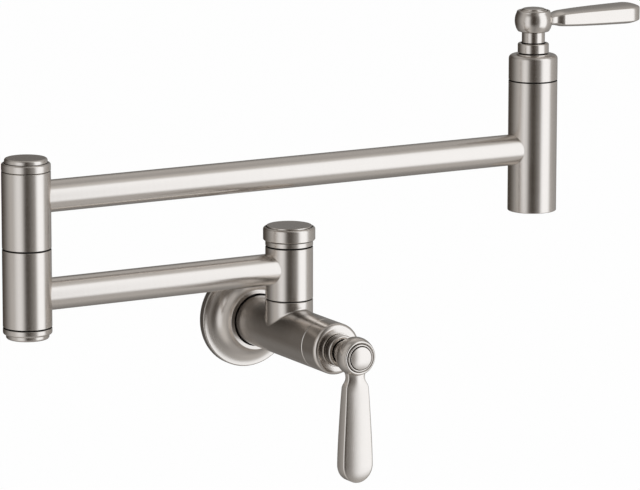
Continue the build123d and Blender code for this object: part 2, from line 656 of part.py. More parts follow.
def handle_hub():
    """Neck and ball in one turning, beaded at the front, bored for stem, screw and button."""
    foot, back = CARTRIDGE_TOP + NECK_GAP, BALL_OUT - BALL_BACK
    front, face = BALL_OUT + BEAD_OUT, BALL_OUT + RING_OUT
    back_edge = (sqrt(BALL_R ** 2 - BALL_BACK ** 2), back)
    front_edge = (sqrt(BALL_R ** 2 - BEAD_OUT ** 2), front)
    hub = turned(
        Polyline((0, foot), (HANDLE_NECK_R, foot), (HANDLE_NECK_R, back), back_edge),
        ThreePointArc(back_edge, (BALL_R, BALL_OUT), front_edge),
        Polyline(front_edge, (0, front), (0, foot)),
    )
    hub = fillet(circles(hub, back_edge[0], back), BALL_BACK_ROUND)
    for low in (COLLAR_TOP, back - NECK_GROOVE):
        hub -= ring(2 * HANDLE_NECK_R, HANDLE_NECK_R - NECK_GROOVE, low, low + NECK_GROOVE)
    hub += bead(BEAD_R, BEAD_SECTION, front)
    hub += post(RING_R + RING_SECTION / 2, front, face) + bead(RING_R, RING_SECTION, face)
    seat = BALL_OUT + BUTTON_SEAT
    hub -= post(BUTTON_R + BUTTON_GAP, seat, face + RING_SECTION)
    web_low = STEM_TOP + FILM
    hub -= post(SCREW_HEAD_R + NECK_GAP, web_low + WEB, seat)
    hub -= post(SCREW_R + 4 * STATIC, web_low, web_low + WEB)
    flats = Box(2 * STEM_R, STEM_FLATS + 2 * STATIC, web_low - foot, align=BASE)
    hub -= post(STEM_TIP_R + STATIC, foot, web_low) & Pos(0, 0, foot) * flats
    return hub - sideways(0, BALL_OUT) * post(SPIGOT_R + STATIC, SCREW_HEAD_R, BALL_R)


def handle_screw():
    """Socket head screw that draws the hub onto the stem."""
    seat = STEM_TOP + FILM + WEB
    screw = post(SCREW_HEAD_R, seat, seat + SCREW_HEAD)
    screw += post(SCREW_R, seat - SCREW_LENGTH, seat)
    socket = extrude(Pos(0, 0, seat + SCREW_HEAD / 2) * RegularPolygon(SCREW_HEAD_R / 2, 6), SCREW_HEAD)
    return screw - socket


def button():
    """Domed cap over the screw, with a snap rim below."""
    seat, edge = BALL_OUT + BUTTON_SEAT, BALL_OUT + BUTTON_EDGE
    crown, rim_r = BALL_OUT + BUTTON_CROWN, BUTTON_R + BUTTON_GAP - STATIC
    dome = turned(
        Polyline((0, crown), (0, seat), (rim_r, seat), (rim_r, seat + BUTTON_RIM)),
        Polyline((rim_r, seat + BUTTON_RIM), (BUTTON_R, seat + BUTTON_RIM), (BUTTON_R, edge)),
        ThreePointArc((0, crown), dome_point(BUTTON_R, edge, crown), (BUTTON_R, edge)),
    )
    return fillet(circles(dome, BUTTON_R, edge), EDGE_BREAK)


def dome_point(reach, edge, crown):
    """Point on a dome's arc, halfway out from its crown to its edge."""
    radius = (reach ** 2 + (crown - edge) ** 2) / (2 * (crown - edge))
    return (reach / 2, crown - radius + sqrt(radius ** 2 - (reach / 2) ** 2))


def lever_outline(width, side_height, crown):
    """Flat sides, crowned front and back, rounded corners."""
    side, edge = width / 2, side_height / 2
    front = ThreePointArc((-side, edge), (0, edge + crown), (side, edge))
    back = ThreePointArc((side, -edge), (0, -edge - crown), (-side, -edge))
    right, left = Line((side, edge), (side, -edge)), Line((-side, -edge), (-side, edge))
    face = make_face(Curve() + [front, right, back, left])
    return fillet(face.vertices(), LEVER_CORNER)


def lever_section(reach, *shape):
    across = Plane(origin=(reach, 0, 0), x_dir=(0, 1, 0), z_dir=(1, 0, 0))
    return across * lever_outline(*shape)


def lever():
    """Paddle lever: waisted neck on the ball, crowned blade with flat sides, round end."""
    blade = loft([lever_section(*place) for place in LEVER_NECK])
    blade += loft([lever_section(*place) for place in LEVER_BLADE])
    reach, width = LEVER_BLADE[-1][:2]
    half = lever_outline(*LEVER_BLADE[-1][1:]) & Pos(width / 2, 0) * Rectangle(width, 2 * width)
    end = Rot(0, 0, -90) * revolve(Plane.XZ * half, Axis.Z, 180)
    stretch = (LEVER_LENGTH - reach) / (width / 2)
    blade += Pos(reach, 0, 0) * scale(end, by=(stretch, 1, 1))
    blade -= Sphere(BALL_R + STATIC)
    blade += sideways(0, 0) * post(SPIGOT_R, SPIGOT_FROM, LEVER_NECK[2][0])
    return Pos(0, 0, BALL_OUT) * blade


HEAD_PARTS = {
    "seat_seal": seat_seal, "cartridge_housing": cartridge_housing, "fixed_disc": fixed_disc,
    "barrel_ring": barrel_ring, "gland_nut": gland_nut, "collar_nut": collar_nut, "stem": stem,
    "stem_rings": stem_rings, "moving_disc": moving_disc, "handle_hub": handle_hub,
    "handle_screw": handle_screw, "lever": lever, "button": button,
}

# ---------------------------------------------------------------- assembly


def assemble():
    """Every piece in place, by node name."""
    pieces = {
        "wall_flange": wall_flange(),
        "flange_gasket": flange_gasket(),
        "flange_grip_ring": flange_ring(),
        "valve_body": valve_body(),
        "riser_spindle": riser_spindle(),
        "riser_seals": RISER * swivel_seals(),
        "riser_glide_washers": RISER * glide_washers(SHOULDER_LOW_Z - SEAM_GAP / 2,
                                                     SHOULDER_HIGH_Z + SEAM_GAP / 2),
        "riser_cap": riser_cap(),
        "shoulder_sleeve": shoulder_sleeve(),
        "lower_arm_tube": ELBOW * Pos(0, 0, LOWER_ARM_Z) * arm_tube(LOWER_ARM),
        "elbow_lower_hub": elbow_lower_hub(),
        "elbow_spindle": elbow_spindle(),
        "elbow_seals": ELBOW * swivel_seals(),
        "elbow_glide_washers": ELBOW * glide_washers(ELBOW_LOW_Z - SEAM_GAP / 2,
                                                     ELBOW_MIDDLE_Z + SEAM_GAP / 2),
        "elbow_bottom_cap": elbow_bottom_cap(),
        "elbow_upper_hub": elbow_upper_hub(),
        "elbow_top_cap": elbow_top_cap(),
        "elbow_top_seal": elbow_top_seal(),
        "upper_arm_tube": ELBOW * Pos(0, 0, UPPER_ARM_Z) * arm_tube(UPPER_ARM),
        "outlet_column": outlet_column(),
        "aerator_housing": aerator_housing(),
        "aerator_insert": aerator_insert(),
        "aerator_washer": aerator_washer(),
        "inlet_bonnet": INLET_HEAD * bonnet(BODY_R),
        "outlet_bonnet": OUTLET_HEAD * bonnet(OUTLET_R),
    }
    for name, make in HEAD_PARTS.items():
        piece = make()
        pieces["inlet_" + name] = INLET_HEAD * piece
        pieces["outlet_" + name] = OUTLET_HEAD * piece
    return pieces


os.makedirs("parts", exist_ok=True)
for node, solid in assemble().items():
    export_step(solid, f"parts/{node}.step")
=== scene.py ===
# %% [markdown]
# A wall mounted pot filler in brushed nickel. The packed CAD model brings every solid in its place.
# This lesson dresses it: a camera at the photograph's angle, a studio that gives turned metal its
# bands of light, a material for each finish, and the one small piece that the CAD model leaves out.

# %% Load the frame
from math import cos, pi, radians, sin

import bmesh
import bpy
from mathutils import Matrix, Vector


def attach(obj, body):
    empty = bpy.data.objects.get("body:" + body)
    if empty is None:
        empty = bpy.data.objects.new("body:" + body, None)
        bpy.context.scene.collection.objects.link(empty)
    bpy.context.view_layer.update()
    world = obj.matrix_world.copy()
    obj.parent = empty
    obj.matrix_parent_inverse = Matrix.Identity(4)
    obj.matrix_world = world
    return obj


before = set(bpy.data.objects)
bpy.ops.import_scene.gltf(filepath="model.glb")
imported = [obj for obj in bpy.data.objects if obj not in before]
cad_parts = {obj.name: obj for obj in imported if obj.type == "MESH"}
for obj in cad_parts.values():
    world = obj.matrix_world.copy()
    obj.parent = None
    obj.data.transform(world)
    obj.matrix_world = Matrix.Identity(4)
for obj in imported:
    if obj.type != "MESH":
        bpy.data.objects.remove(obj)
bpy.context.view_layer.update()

# %% [markdown]
# Nearly every piece is turned about an axis or is a straight tube, so a few axes say where
# everything is. They are in metres, as all of Blender's places are: x to the right, y into the
# wall and z up, from the point where the valve body's axis meets the wall.

# %% The part's axes
RISER_OUT = 0.0594
ELBOW_X, OUTLET_X = -0.1874, 0.184
LOWER_TUBE_Z, UPPER_TUBE_Z = 0.04225, 0.1045
INLET_SEAM, OUTLET_SEAM = 0.1053, 0.15028
BALL_OUT = 0.0391  # a valve head's seam to the middle of its ball
X_AXIS, Z_AXIS = Vector((1, 0, 0)), Vector((0, 0, 1))
WALL_AXIS = Vector((0, -1, 0))
RISER = Vector((0.0, -RISER_OUT, 0.0))
ELBOW = Vector((ELBOW_X, -RISER_OUT, 0.0))
OUTLET = Vector((OUTLET_X, -RISER_OUT, 0.0))
INLET = Vector((0.0, 0.0, 0.0))
LOWER_TUBE = Vector((0.0, -RISER_OUT, LOWER_TUBE_Z))
UPPER_TUBE = Vector((0.0, -RISER_OUT, UPPER_TUBE_Z))
OUTLET_BALL = OUTLET + Z_AXIS * (OUTLET_SEAM + BALL_OUT)
INLET_BALL = INLET + WALL_AXIS * (INLET_SEAM + BALL_OUT)
print("balls at", list(OUTLET_BALL), "and", list(INLET_BALL))

# %% [markdown]
# The camera is long and far away, so the two arms hardly converge. It looks from the left of
# square and a little downward. Its place, turn and lens come from fitting the outlines of the
# CAD model, the two levers' ends among them, to the photograph by least squares.

# %% Camera
CAMERA_PLACE = Vector((-1.44658, -2.63858, 0.63954))
CAMERA_YAW = radians(29.671)
CAMERA_DIP = radians(11.148)
CAMERA_ROLL = radians(0.063)
LENS_MM = 263.667
SENSOR_MM = 36.0
SIGHT_LIMIT = 40.0


def place_camera():
    lens = bpy.data.cameras.new("camera")
    lens.sensor_fit = "HORIZONTAL"
    lens.sensor_width = SENSOR_MM
    lens.lens = LENS_MM
    lens.clip_end = SIGHT_LIMIT
    camera = bpy.data.objects.new("camera", lens)
    bpy.context.collection.objects.link(camera)
    turn = (
        Matrix.Rotation(-CAMERA_YAW, 4, "Z")
        @ Matrix.Rotation(pi / 2 - CAMERA_DIP, 4, "X")
        @ Matrix.Rotation(CAMERA_ROLL, 4, "Z")
    )
    camera.matrix_world = Matrix.Translation(CAMERA_PLACE) @ turn
    bpy.context.scene.camera = camera


place_camera()
bpy.context.scene.view_settings.view_transform = "Standard"
print("camera at", list(CAMERA_PLACE))

# %% [markdown]
# Shader maths reads best as plain expressions. A Wire is one value in a node tree: adding,
# multiplying or comparing wires lays down Math nodes.


# %% Wire
class Wire:
    def __init__(self, tree, socket):
        self.tree, self.socket = tree, socket

    def maths(self, operation, *values):
        return self.tree.node("ShaderNodeMath", {"operation": operation}, *values)

    def __add__(self, other):
        return self.maths("ADD", self, other)

    def __sub__(self, other):
        return self.maths("SUBTRACT", self, other)

    def __rsub__(self, other):
        return self.maths("SUBTRACT", other, self)

    def __mul__(self, other):
        return self.maths("MULTIPLY", self, other)

    def __truediv__(self, other):
        return self.maths("DIVIDE", self, other)

    def __abs__(self):
        return self.maths("ABSOLUTE", self)

    __radd__ = __add__
    __rmul__ = __mul__

    def most(self, other):
        return self.maths("MAXIMUM", self, other)

    def least(self, other):
        return self.maths("MINIMUM", self, other)

    def ease(self, start, end):
        """0 at start, 1 at end, smooth between."""
        return self.tree.node(
            "ShaderNodeMapRange", {"interpolation_type": "SMOOTHSTEP"}, self, start, end
        )


print("a wire knows", sorted(name for name in vars(Wire) if not name.startswith("_")))

# %% [markdown]
# A Tree lays down any other node: its settings first, then its sockets, each with a plain value
# or with the Wire that feeds it. Its few named methods are the nodes that this lesson uses most.


# %% Tree
class Tree:
    def __init__(self, node_tree):
        self.nodes, self.links = node_tree.nodes, node_tree.links

    def node(self, kind, settings=None, *values, out=0, **named):
        """A node of that kind: its settings first, then its sockets in order or by name."""
        new = self.nodes.new(kind)
        for name, value in (settings or {}).items():
            if name == "stops":
                self.set_stops(new.color_ramp, value)
            else:
                setattr(new, name, value)
        pairs = list(zip(new.inputs, values))
        pairs += [(new.inputs[name.replace("_", " ")], value) for name, value in named.items()]
        for socket, value in pairs:
            self.feed(socket, value)
        return Wire(self, new.outputs[out]) if new.outputs else None

    def feed(self, socket, value):
        if isinstance(value, Wire):
            self.links.new(value.socket, socket)
        elif value is not None:
            socket.default_value = value

    @staticmethod
    def set_stops(ramp, stops):
        while len(ramp.elements) < len(stops):
            ramp.elements.new(1.0)
        for element, (position, colour) in zip(ramp.elements, stops):
            element.position = position
            element.color = (*colour, 1.0)

    def place(self):
        """The shaded point in the object's own coordinates, which stay put when it moves."""
        return self.node("ShaderNodeTexCoord", out="Object")

    def noise(self, point, scale, detail, settings=None, **named):
        return self.node("ShaderNodeTexNoise", settings, Vector=point, Scale=scale, Detail=detail,
                         **named)

    def vector(self, operation, *values, out=0):
        return self.node("ShaderNodeVectorMath", {"operation": operation}, *values, out=out)

    def along(self, point, direction):
        return self.vector("DOT_PRODUCT", point, direction, out="Value")

    def blend(self, factor, first, second):
        mix = self.nodes.new("ShaderNodeMix")
        mix.data_type = "RGBA"
        for index, value in ((0, factor), (6, first), (7, second)):
            self.feed(mix.inputs[index], value)
        return Wire(self, mix.outputs[2])

    def bump(self, height, depth, below=None):
        """A relief of height times depth, in metres, on top of the one below it."""
        return self.node("ShaderNodeBump", None, Strength=1.0, Distance=depth, Height=height,
                         Normal=below)


def rgb(red, green, blue):
    return (red, green, blue, 1.0)


def new_material(name):
    material = bpy.data.materials.new(name)
    material.use_nodes = True
    return material, Tree(material.node_tree), material.node_tree.nodes["Principled BSDF"]


def surface(tree, shader, colour, roughness, bump):
    """What changes over a surface: its colour, its roughness and its bump."""
    tree.feed(shader.inputs["Base Color"], colour)
    tree.feed(shader.inputs["Roughness"], roughness)
    tree.feed(shader.inputs["Normal"], bump)


print("a tree knows", sorted(name for name in vars(Tree) if not name.startswith("_")))

# %% [markdown]
# The light is a plain white world, the same from all sides. The background is the floor and the
# world beyond it. The floor is pale, and the camera sees it mixed with plain white, so that it
# comes out nearly white and still takes the part's faint shadow. Is Camera Ray keeps that white
# from lighting the part, and the metal doesn't reflect the floor: the studio takes its place.

# %% White world and pale floor
FLOOR_Z = -0.34
FLOOR_HALF = 9.0
FLOOR_GLOW = 0.8
FLOOR_COLOUR = rgb(0.97, 0.97, 0.97)
WHITE = rgb(1.0, 1.0, 1.0)


def light_world():
    world = bpy.data.worlds.new("white_world")
    world.use_nodes = True
    bpy.context.scene.world = world
    background = world.node_tree.nodes["Background"]
    background.inputs["Color"].default_value = WHITE
    background.inputs["Strength"].default_value = 1.0


def mesh_object(name, bm, smooth=True):
    mesh = bpy.data.meshes.new(name)
    bm.to_mesh(mesh)
    bm.free()
    for face in mesh.polygons:
        face.use_smooth = smooth
    made = bpy.data.objects.new(name, mesh)
    bpy.context.collection.objects.link(made)
    return made


def floor_material():
    material, tree, shader = new_material("pale_floor")
    shader.inputs["Base Color"].default_value = FLOOR_COLOUR
    shader.inputs["Roughness"].default_value = 0.9
    shader.inputs["Specular IOR Level"].default_value = 0.1
    seen = tree.node("ShaderNodeLightPath", out="Is Camera Ray")
    glow = tree.node("ShaderNodeEmission", None, WHITE, 1.0)
    lit = Wire(tree, shader.outputs["BSDF"])
    mix = tree.node("ShaderNodeMixShader", None, seen * FLOOR_GLOW, lit, glow)
    tree.feed(material.node_tree.nodes["Material Output"].inputs["Surface"], mix)
    return material


def lay_floor():
    bm = bmesh.new()
    bmesh.ops.create_grid(bm, x_segments=1, y_segments=1, size=FLOOR_HALF)
    bmesh.ops.translate(bm, vec=(0.0, 0.0, FLOOR_Z), verts=bm.verts)
    floor = mesh_object("floor", bm, smooth=False)
    floor.data.materials.append(floor_material())
    floor.visible_glossy = False


light_world()
lay_floor()
print("white world, floor at", FLOOR_Z)

# %% [markdown]
# Brushed metal has no colour of its own to speak of: it shows the studio. So round the part
# stand things that only reflections see. They are hung by azimuth, in degrees to the right of
# the way back to the camera, because a column mirrors them in that order from left to right.

# %% Studio directions
TOWARD = Vector((-sin(CAMERA_YAW), -cos(CAMERA_YAW), 0.0))
RIGHT = Vector((cos(CAMERA_YAW), -sin(CAMERA_YAW), 0.0))


def studio_direction(azimuth):
    return TOWARD * cos(radians(azimuth)) + RIGHT * sin(radians(azimuth))


def reflections_only(card):
    card.visible_camera = False
    card.visible_diffuse = False
    card.visible_shadow = False
    card.visible_transmission = False
    card.visible_volume_scatter = False


def glow_material(name):
    material = bpy.data.materials.new(name)
    material.use_nodes = True
    material.node_tree.nodes.clear()
    material.cycles.emission_sampling = "NONE"
    return material, Tree(material.node_tree)


print("the camera stands toward", list(TOWARD))

# %% [markdown]
# The surround is a large grey sphere. It is darkest in front, behind the camera, which gives each
# column its dark middle, and again at the back on the left, which gives it a dark left edge.
# Faces that lean up or down see another part of it, so its grey has three rows, each a colour
# ramp round the part: level, high and low. The darker a grey is, the warmer, as the
# photograph's metal is in its dark bands.

# %% Grey surround
SURROUND_CENTRE = Vector((0.0, -0.06, 0.06))
SURROUND_RADIUS = 4.0
# Each row's greys, as (azimuth, brightness).
LEVEL_ROW = (
    (-180, 0.20), (-166, 0.10), (-148, 0.045), (-128, 0.075), (-108, 0.17), (-92, 0.33),
    (-72, 0.50), (-48, 0.38), (-24, 0.22), (-11, 0.09), (0, 0.04), (10, 0.055), (25, 0.18),
    (60, 0.45), (100, 0.45), (116, 0.39), (138, 0.35), (180, 0.20),
)
HIGH_ROW = (
    (-180, 0.55), (-160, 0.50), (-130, 0.33), (-108, 0.30), (-88, 0.50), (-68, 0.48),
    (-48, 0.42), (-28, 0.22), (-10, 0.10), (8, 0.14), (22, 0.25), (40, 0.50), (70, 0.62),
    (92, 0.55), (112, 0.40), (160, 0.45), (180, 0.55),
)
LOW_ROW = (
    (-180, 0.22), (-150, 0.17), (-128, 0.23), (-90, 0.37), (-70, 0.55), (-50, 0.62), (-30, 0.55),
    (-10, 0.33), (8, 0.24), (30, 0.33), (60, 0.44), (86, 0.50), (110, 0.36), (132, 0.28),
    (180, 0.22),
)
ZENITH, NADIR = 0.26, 0.37
# Where one row gives way to the next, as heights on a sphere of radius 1.
TO_HIGH, TO_ZENITH = (0.40, 0.80), (0.90, 0.985)
TO_LOW, TO_NADIR = (-0.20, -0.62), (-0.85, -0.97)
WARM_GREY = Vector((1.025, 1.0, 0.975))
WARMER_BELOW = 0.2


def grey_stops(row):
    stops = []
    for azimuth, level in row:
        warmth = 1.0 + max(0.0, WARMER_BELOW - level)
        grey = (WARM_GREY.x * level * warmth, level, WARM_GREY.z * level / warmth)
        stops.append(((azimuth + 180) / 360, grey))
    return stops


def surround_material():
    material, tree = glow_material("surround_grey")
    offset = tree.vector("SUBTRACT", tree.place(), SURROUND_CENTRE)
    toward, right, up = (tree.along(offset, axis) for axis in (TOWARD, RIGHT, Z_AXIS))
    azimuth = right.maths("ARCTAN2", right, toward) * (180 / pi)
    level, high, low = (
        tree.node("ShaderNodeValToRGB", {"stops": grey_stops(row)}, (azimuth + 180) / 360)
        for row in (LEVEL_ROW, HIGH_ROW, LOW_ROW)
    )
    height = up / SURROUND_RADIUS
    colour = tree.blend(height.ease(*TO_HIGH), level, high)
    colour = tree.blend(height.ease(*TO_ZENITH), colour, rgb(*(WARM_GREY * ZENITH)))
    colour = tree.blend(height.ease(*TO_LOW), colour, low)
    colour = tree.blend(height.ease(*TO_NADIR), colour, rgb(*(WARM_GREY * NADIR)))
    tree.node("ShaderNodeOutputMaterial", None, tree.node("ShaderNodeEmission", None, colour, 1.0))
    return material


def hang_surround():
    bm = bmesh.new()
    bmesh.ops.create_icosphere(bm, subdivisions=4, radius=SURROUND_RADIUS)
    bmesh.ops.translate(bm, vec=SURROUND_CENTRE, verts=bm.verts)
    surround = mesh_object("surround", bm)
    surround.data.materials.append(surround_material())
    reflections_only(surround)
    return surround


surround = hang_surround()
print("surround hung,", len(surround.data.polygons), "faces")

# %% [markdown]
# Two soft cards give the bright bands: a large one on the right and a smaller, dimmer one on the
# left. They stand near the part, so the bands shift a little from one column to the next, as in
# the photograph. A card has no hard edge, because a hard edge would draw a line on the metal.

# %% Soft cards
SOFT_ENDS = 0.6  # how soft a card's top and bottom are, as a share of its sides


def card_material(name, centre, across, half_width, half_height, colour, strength, soft):
    material, tree = glow_material(name)
    offset = tree.vector("SUBTRACT", tree.place(), centre)
    across_edge = abs(tree.along(offset, across)) / half_width
    height_edge = abs(tree.along(offset, Z_AXIS)) / half_height
    solid = across_edge.ease(1.0, 1.0 - soft) * height_edge.ease(1.0, 1.0 - SOFT_ENDS * soft)
    glow = tree.node("ShaderNodeEmission", None, rgb(*colour), strength)
    clear = tree.node("ShaderNodeBsdfTransparent")
    mix = tree.node("ShaderNodeMixShader", None, solid, clear, glow)
    tree.node("ShaderNodeOutputMaterial", None, mix)
    return material


def hang_card(name, azimuth, distance, half_width, low, high, **light):
    """A card from low to high, square to the spout column at that azimuth and distance."""
    across = studio_direction(azimuth + 90)
    centre = OUTLET + studio_direction(azimuth) * distance
    centre.z = (low + high) / 2
    half_height = (high - low) / 2
    stand = Matrix((
        (across.x * half_width, 0.0, 0.0, centre.x),
        (across.y * half_width, 0.0, 0.0, centre.y),
        (0.0, half_height, 0.0, centre.z),
        (0.0, 0.0, 0.0, 1.0),
    ))
    bm = bmesh.new()
    bmesh.ops.create_grid(bm, x_segments=1, y_segments=1, size=1.0)
    bmesh.ops.transform(bm, matrix=stand, verts=bm.verts)
    card = mesh_object(name, bm, smooth=False)
    card.data.materials.append(
        card_material(name + "_light", centre, across, half_width, half_height, **light))
    reflections_only(card)
    print(name, "at", list(centre))


hang_card("right_card", azimuth=62.5, distance=1.52, half_width=0.93, low=-1.15, high=2.3,
          colour=(0.97, 1.0, 1.04), strength=1.22, soft=0.55)
hang_card("left_card", azimuth=-39.5, distance=1.25, half_width=0.60, low=-0.9, high=1.15,
          colour=(0.99, 1.0, 1.02), strength=0.88, soft=0.9)

# %% [markdown]
# Turned pieces meet in seams and steps too fine to catch light. A crease is such a recess as
# seen by a material: a ring about the piece's axis, between two distances from it and two places
# along it, where shade is painted into the colour. The recess itself is in the CAD model; the
# painted shade keeps it dark and crisp.

# %% Coordinates about an axis, and creases
CREASE_SOFT = 0.0001


def axis_coordinates(tree, axis, centre):
    """Distance from the axis, and place along it, of the shaded point."""
    point = tree.place()
    offset = tree.vector("SUBTRACT", point, centre)
    along = tree.along(offset, axis)
    level = Vector(1.0 - abs(part) for part in axis)
    across = tree.vector("MULTIPLY", offset, level)
    return tree.vector("LENGTH", across, out="Value"), along, point


def crease(radius, along, inner, outer, low, high):
    """1 inside a ring-shaped recess, given in millimetres, with edges 0.1 mm soft."""
    inner, outer, low, high = (value / 1000 for value in (inner, outer, low, high))
    across = radius.ease(inner - CREASE_SOFT, inner) * radius.ease(outer + CREASE_SOFT, outer)
    return across * along.ease(low - CREASE_SOFT, low) * along.ease(high + CREASE_SOFT, high)


# Recesses as (inner radius, outer radius, low, high), in millimetres about the piece's axis.
# Riser: the sleeve's two seams, the groove round the cap's disc, and under the cap's step.
RISER_CREASES = (
    (0.0, 30.0, 21.55, 22.5), (0.0, 30.0, 56.15, 57.05), (14.75, 15.3, 68.4, 69.0),
    (15.0, 15.7, 60.05, 60.6),
)
# Elbow: the lower, middle and top seams, and the foot of the top cap's disc.
ELBOW_CREASES = (
    (0.0, 30.0, 22.5, 23.3), (0.0, 30.0, 72.3, 73.15), (0.0, 15.0, 121.75, 122.1),
    (13.55, 14.0, 127.0, 127.35),
)
OUTLET_CREASES = ((0.0, 30.0, 149.65, 150.5),)
INLET_CREASES = ((0.0, 16.2, 104.8, 105.35),)
# The gap between the valve body and the flange's lip.
LIP_CREASE = (16.3, 16.9, 15.0, 18.1)
# A valve head's recesses, outwards from its seam: under the collar, round the handle's neck at
# both ends, between the two beads, and round the button.
HEAD_CREASES = (
    (9.2, 10.2, 17.2, 18.0), (6.9, 8.2, 19.0, 24.85), (6.9, 7.5, 31.4, 32.05),
    (8.85, 9.2, 44.5, 45.4), (7.2, 7.75, 41.0, 46.2),
)


def head_creases(seam):
    seam = seam * 1000
    return tuple((inner, outer, low + seam, high + seam)
                 for inner, outer, low, high in HEAD_CREASES)


print("creases on a valve head", len(HEAD_CREASES), "and on the elbow", len(ELBOW_CREASES))

# %% [markdown]
# Brushed nickel is plated, then brushed with a fine abrasive while the piece turns, so its
# grain is thousands of shallow rings about the piece's own axis. A texture of stripes would be
# too even, so the grain is a noise that depends only on the distance from the axis and the
# place along it. It can't change round the piece, and it works as bump, not as colour. A slow
# cloud in colour and roughness keeps a long column from looking like one flat tone.

# %% Brushed nickel
GRAIN_PER_METRE = 5200.0
GRAIN_DEPTH = 0.0000017
COARSE_GRAIN = 9  # times as wide as the fine grain
COARSE_SHARE = 0.6
CLOUDS_PER_METRE = 38.0
NICKEL = (0.80, 0.755, 0.71)
NICKEL_DEEP = (0.765, 0.715, 0.665)
WEAR_SPREAD = 0.05
PAINTED_SHADE_COLOUR = (0.035, 0.032, 0.03)
RECESS_DULL = 0.35
FLAT = {"noise_dimensions": "2D"}
dressed = set()


def brushed_nickel(name, axis, centre, roughness, creases=(), relief=None, shade=None):
    material, tree, shader = new_material(name)
    radius, along, point = axis_coordinates(tree, axis, centre)
    rings = tree.node("ShaderNodeCombineXYZ", None, radius, along, 0.0)
    fine = tree.noise(rings, GRAIN_PER_METRE, 3.0, FLAT, Roughness=0.65)
    coarse = tree.noise(rings, GRAIN_PER_METRE / COARSE_GRAIN, 2.0, FLAT)
    cloud = tree.noise(point, CLOUDS_PER_METRE, 3.0)
    colour = tree.blend(cloud, rgb(*NICKEL_DEEP), rgb(*NICKEL))
    wear = roughness + (cloud - 0.5) * WEAR_SPREAD + (coarse - 0.5) * WEAR_SPREAD
    if creases:
        recess = crease(radius, along, *creases[0])
        for place in creases[1:]:
            recess = recess.most(crease(radius, along, *place))
        # Painted shade: inside the creases the colour is darkened, as shade falls in the recesses.
        colour = tree.blend(recess, colour, rgb(*PAINTED_SHADE_COLOUR))
        wear = wear + recess * RECESS_DULL
    if shade:
        colour = tree.blend(shade(tree, radius, along), colour, rgb(*PAINTED_SHADE_COLOUR))
    form = tree.bump(relief(tree, point), 1.0) if relief else None
    bump = tree.bump(fine + coarse * COARSE_SHARE, GRAIN_DEPTH, below=form)
    surface(tree, shader, colour, wear, bump)
    shader.inputs["Metallic"].default_value = 1.0
    return material


def dress(nodes, material):
    for node in nodes:
        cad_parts[node].material_slots[0].material = material
        dressed.add(node)


print("grain rings about", round(1000 / GRAIN_PER_METRE, 2), "mm apart")

# %% [markdown]
# The columns, caps, valve heads and tubes share that one recipe. Each group has the axis that
# it was turned on and the recesses about that axis. The small heads are brushed finer than the
# columns, so their bands are a little sharper.

# %% Columns, heads and tubes
COLUMN_ROUGHNESS, HEAD_ROUGHNESS, BONNET_ROUGHNESS = 0.23, 0.18, 0.19
NICKEL_GROUPS = {
    "nickel_riser": (
        Z_AXIS, RISER, COLUMN_ROUGHNESS, RISER_CREASES, ("riser_cap", "shoulder_sleeve")),
    "nickel_elbow": (
        Z_AXIS, ELBOW, COLUMN_ROUGHNESS, ELBOW_CREASES,
        ("elbow_lower_hub", "elbow_upper_hub", "elbow_top_cap", "elbow_bottom_cap")),
    "nickel_outlet": (
        Z_AXIS, OUTLET, COLUMN_ROUGHNESS, OUTLET_CREASES,
        ("outlet_column", "outlet_bonnet", "aerator_housing")),
    "nickel_outlet_head": (
        Z_AXIS, OUTLET, HEAD_ROUGHNESS, head_creases(OUTLET_SEAM),
        ("outlet_collar_nut", "outlet_handle_hub", "outlet_button")),
    "nickel_inlet": (WALL_AXIS, INLET, BONNET_ROUGHNESS, INLET_CREASES, ("inlet_bonnet",)),
    "nickel_inlet_head": (
        WALL_AXIS, INLET, HEAD_ROUGHNESS, head_creases(INLET_SEAM),
        ("inlet_handle_hub", "inlet_button")),
    "nickel_lower_tube": (X_AXIS, LOWER_TUBE, COLUMN_ROUGHNESS, (), ("lower_arm_tube",)),
    "nickel_upper_tube": (X_AXIS, UPPER_TUBE, COLUMN_ROUGHNESS, (), ("upper_arm_tube",)),
}
for group, (axis, centre, roughness, creases, nodes) in NICKEL_GROUPS.items():
    dress(nodes, brushed_nickel(group, axis, centre, roughness, creases))
print("turned nickel on", len(dressed), "nodes")

# %% [markdown]
# Three pieces also get a painted shade, where the photograph's studio leaves them dimmer than
# this one does: the valve body near the flange and round the riser's stub, the flange's outer
# edge, and the side of the inlet's collar. It is an even darkening by place on the piece, never
# by where the camera stands.

# %% Shaded nickel
BODY_ROUGHNESS, FLANGE_ROUGHNESS = 0.22, 0.26
SHADE = 0.5
COLLAR_SHADE = 0.6
# Each pair is where a shade starts and where it is full, in metres.
NEAR_FLANGE = (0.046, 0.018)
NEAR_STUB, OFF_STUB = (0.042, 0.018), (0.0155, 0.0160)
TOP_OF_BODY = (-0.004, 0.012)
FLANGE_EDGE = (0.03325, 0.03335)
COLLAR_OUTER_RIM, COLLAR_INNER_RIM = (0.1290, 0.1284), (0.1238, 0.1243)


def body_shade(tree, radius, along):
    from_riser, height, _ = axis_coordinates(tree, Z_AXIS, RISER)
    top = height.ease(*TOP_OF_BODY)
    round_stub = from_riser.ease(*OFF_STUB) * from_riser.ease(*NEAR_STUB) * top * SHADE
    return round_stub.most(along.ease(*NEAR_FLANGE) * SHADE)


def edge_shade(tree, radius, along):
    return radius.ease(*FLANGE_EDGE) * SHADE


def collar_shade(tree, radius, along):
    return along.ease(*COLLAR_OUTER_RIM) * along.ease(*COLLAR_INNER_RIM) * COLLAR_SHADE


